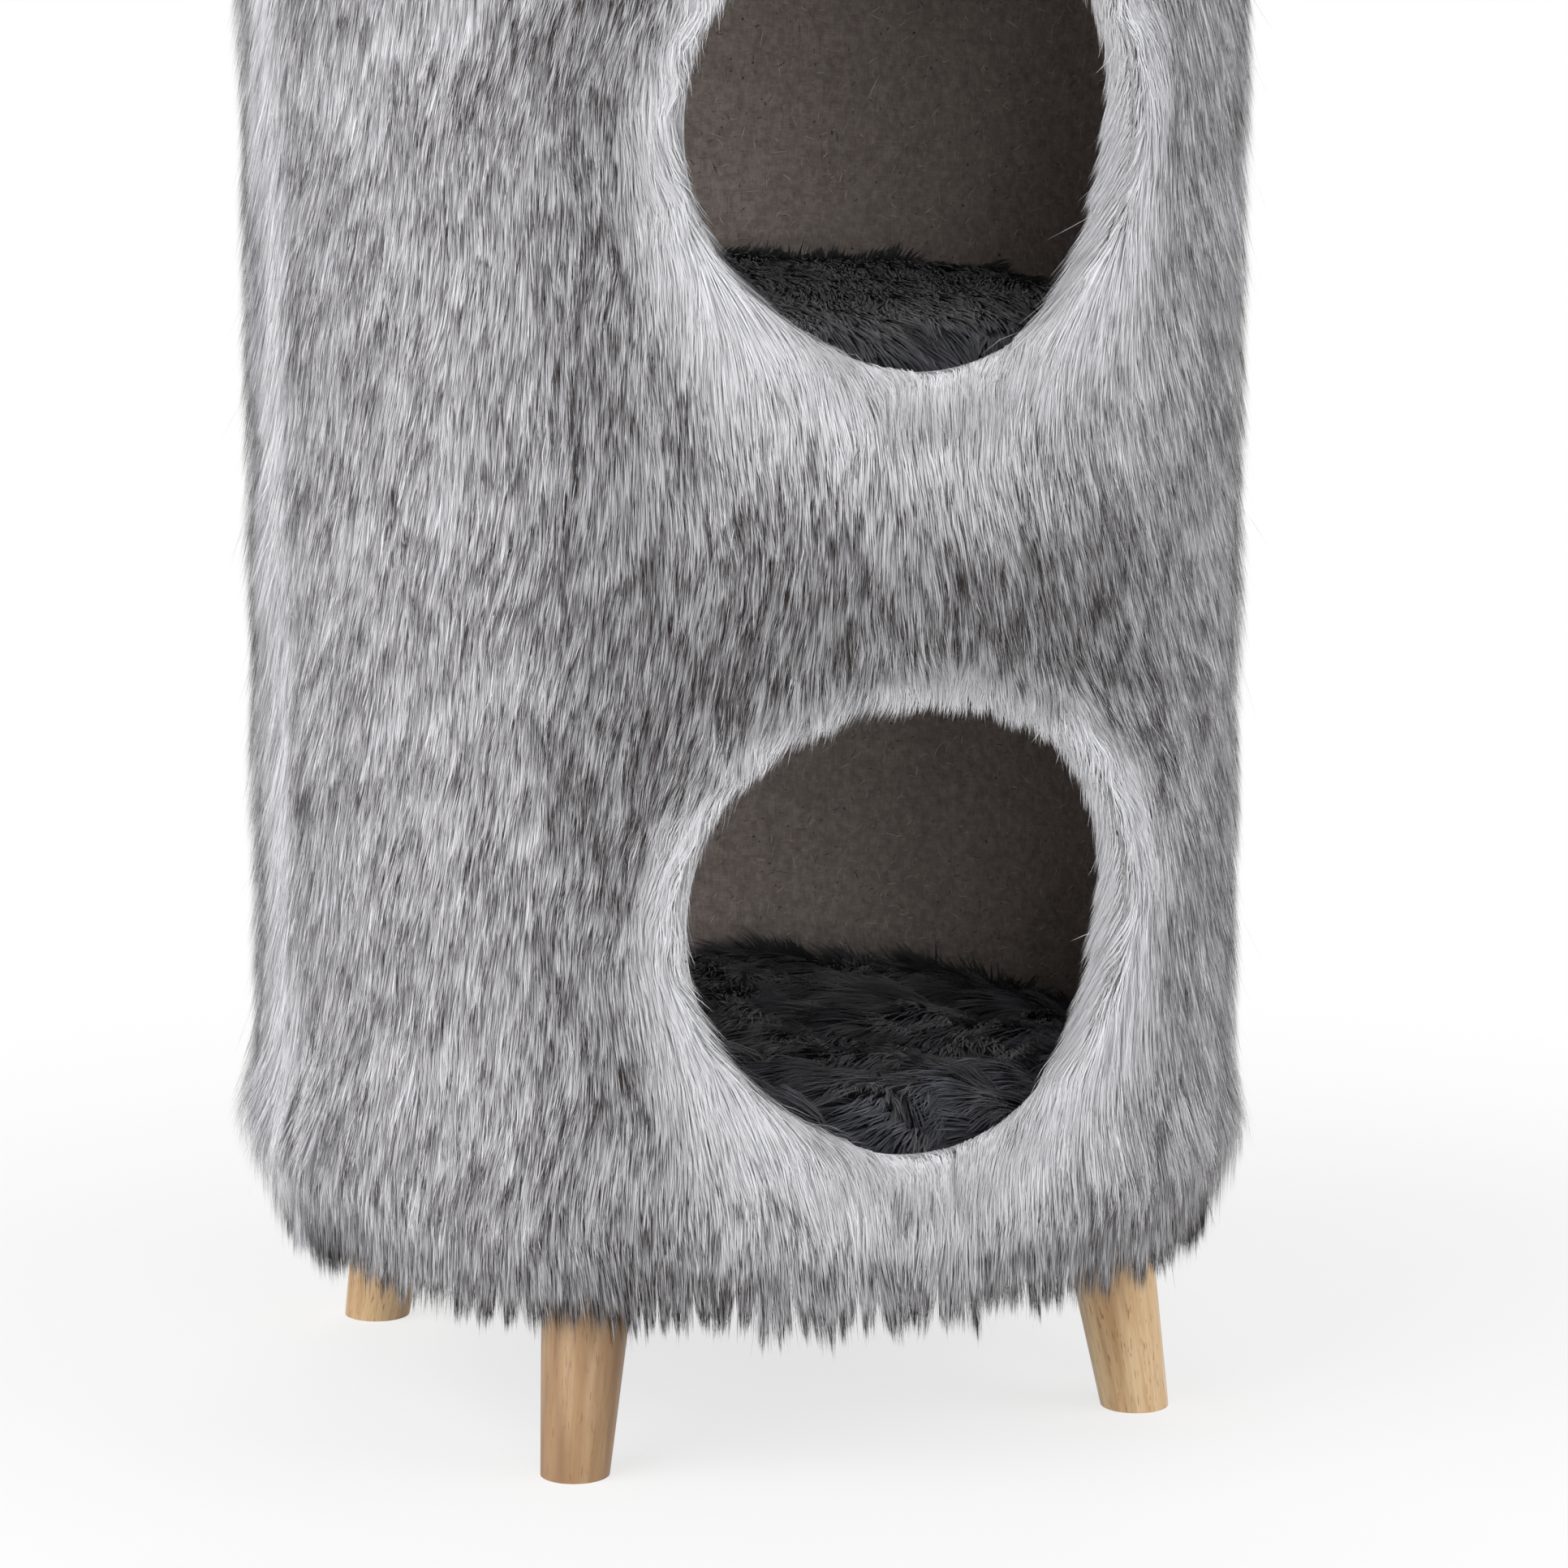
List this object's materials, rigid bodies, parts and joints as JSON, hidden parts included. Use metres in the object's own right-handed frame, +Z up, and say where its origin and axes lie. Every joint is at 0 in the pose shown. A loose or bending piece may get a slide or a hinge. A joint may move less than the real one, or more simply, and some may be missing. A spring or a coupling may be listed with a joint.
{
  "type": "cat tree",
  "caption": "Round fur-covered cat tower with stacked caves, round doorways, loose plush cushions, an open top bed and splayed wooden legs.",
  "frame": {"origin": "on the floor at the barrel's vertical axis, midway between the four feet", "axes": "+Z up along the barrel; -Y out through the doorways; +X to the right of someone who faces the doorways"},
  "size_m": [0.4004, 0.4003, 0.7702],
  "materials": {
    "long_fur": "matte",
    "dark_plush": "matte",
    "wall_felt": "matte",
    "leg_wood": "satin",
    "fibreboard": "matte",
    "tube_board": "matte",
    "underside_cloth": "matte",
    "plate_steel": "satin",
    "zinc_steel": "satin",
    "fibre_filling": "matte"
  },
  "bodies": {
    "tower": {"barrel_tube": "tube_board", "base_board": "fibreboard", "middle_shelf": "fibreboard", "top_board": "fibreboard", "lower_wall_liner": "wall_felt", "upper_wall_liner": "wall_felt", "lower_floor_felt": "wall_felt", "upper_floor_felt": "wall_felt", "top_floor_felt": "wall_felt", "lower_ceiling_felt": "wall_felt", "upper_ceiling_felt": "wall_felt", "fur_cover": "long_fur", "underside_cloth": "underside_cloth", "underside_staples": "zinc_steel", "leg_plate_screws": "zinc_steel", "base_board_screws": "zinc_steel", "middle_shelf_screws": "zinc_steel", "top_board_screws": "zinc_steel", "leg_front_left": "leg_wood", "leg_plate_front_left": "plate_steel", "hanger_bolt_front_left": "zinc_steel", "leg_front_right": "leg_wood", "leg_plate_front_right": "plate_steel", "hanger_bolt_front_right": "zinc_steel", "leg_rear_left": "leg_wood", "leg_plate_rear_left": "plate_steel", "hanger_bolt_rear_left": "zinc_steel", "leg_rear_right": "leg_wood", "leg_plate_rear_right": "plate_steel", "hanger_bolt_rear_right": "zinc_steel"},
    "lower_cushion": {"lower_cushion_cover": "dark_plush", "lower_cushion_filling": "fibre_filling"},
    "upper_cushion": {"upper_cushion_cover": "dark_plush", "upper_cushion_filling": "fibre_filling"},
    "top_cushion": {"top_cushion_cover": "dark_plush", "top_cushion_filling": "fibre_filling"}
  },
  "joints": [
    {"name": "lower_cushion_lift", "type": "slide", "parent": "tower", "child": "lower_cushion", "axis": [0, 0, 1], "range_m": [0, 0.235]},
    {"name": "upper_cushion_lift", "type": "slide", "parent": "tower", "child": "upper_cushion", "axis": [0, 0, 1], "range_m": [0, 0.235]},
    {"name": "top_cushion_lift", "type": "slide", "parent": "tower", "child": "top_cushion", "axis": [0, 0, 1], "range_m": [0, 0.12]}
  ]
}
